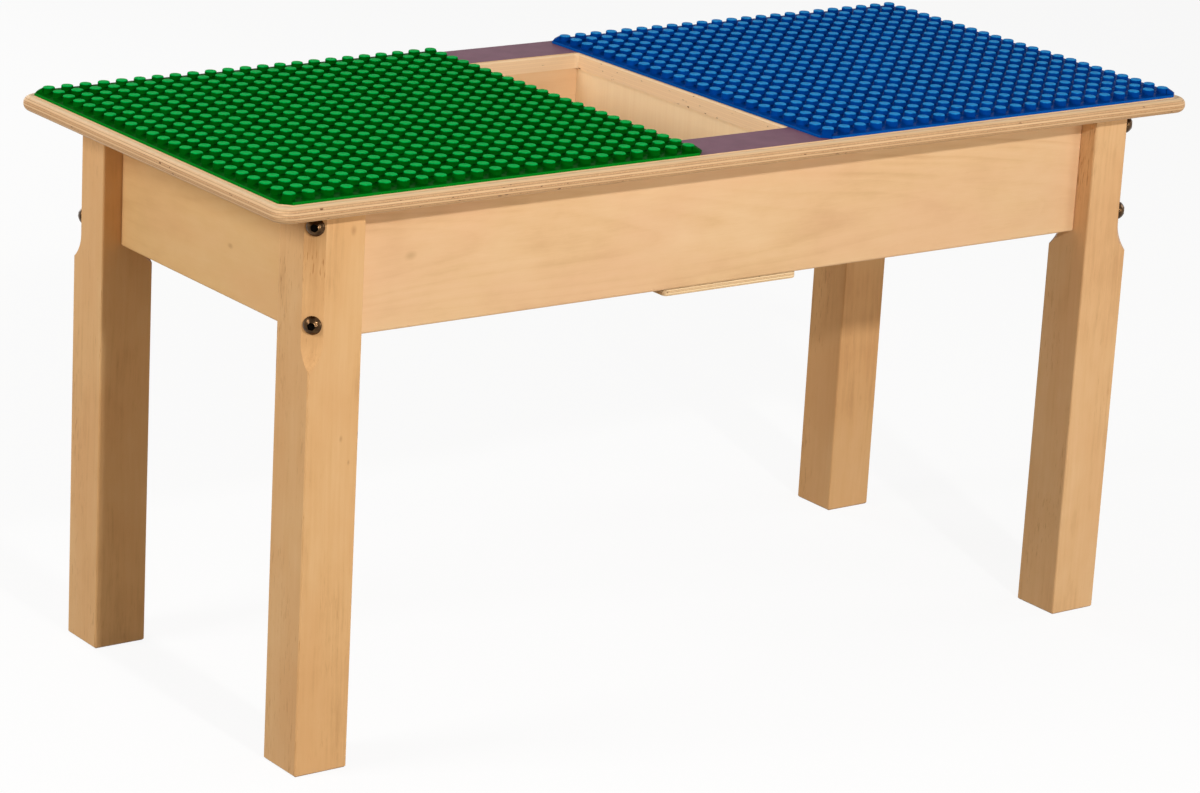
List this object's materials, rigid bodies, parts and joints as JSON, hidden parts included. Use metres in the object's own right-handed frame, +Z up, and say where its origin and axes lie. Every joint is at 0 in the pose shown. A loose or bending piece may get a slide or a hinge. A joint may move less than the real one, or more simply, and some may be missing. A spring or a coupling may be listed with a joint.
{
  "type": "building block play table",
  "caption": "Low rectangular wooden play table with a studded green and a studded blue block plate on its top and an open storage well between them.",
  "frame": {"origin": "on the floor, under the middle of the table", "axes": "+X along the table's length towards the blue plate, +Y from the front apron to the back apron, +Z up"},
  "size_m": [0.875, 0.388, 0.4504],
  "materials": {
    "maple": "satin clear lacquer on solid maple",
    "plywood": "satin clear lacquer on plywood",
    "purple_laminate": "smooth satin laminate",
    "green_plastic": "glossy moulded plastic",
    "blue_plastic": "glossy moulded plastic",
    "bronzed_steel": "polished dark bronze plating",
    "zinc_steel": "bright zinc plating"
  },
  "bodies": {
    "root": {"table_top": "plywood", "top_laminate": "purple_laminate", "green_block_plate": "green_plastic", "blue_block_plate": "blue_plastic", "front_apron": "maple", "back_apron": "maple", "left_apron": "maple", "right_apron": "maple", "well_left_wall": "plywood", "well_right_wall": "plywood", "well_bottom_board": "plywood", "well_screws": "zinc_steel", "leg_bolts": "bronzed_steel", "bolt_washers": "zinc_steel", "bolt_nuts": "zinc_steel", "corner_block_screws": "zinc_steel", "top_screws": "zinc_steel", "leg_front_left": "maple", "leg_front_right": "maple", "leg_back_right": "maple", "leg_back_left": "maple", "corner_block_front_left": "maple", "corner_block_front_right": "maple", "corner_block_back_right": "maple", "corner_block_back_left": "maple"}
  },
  "joints": []
}
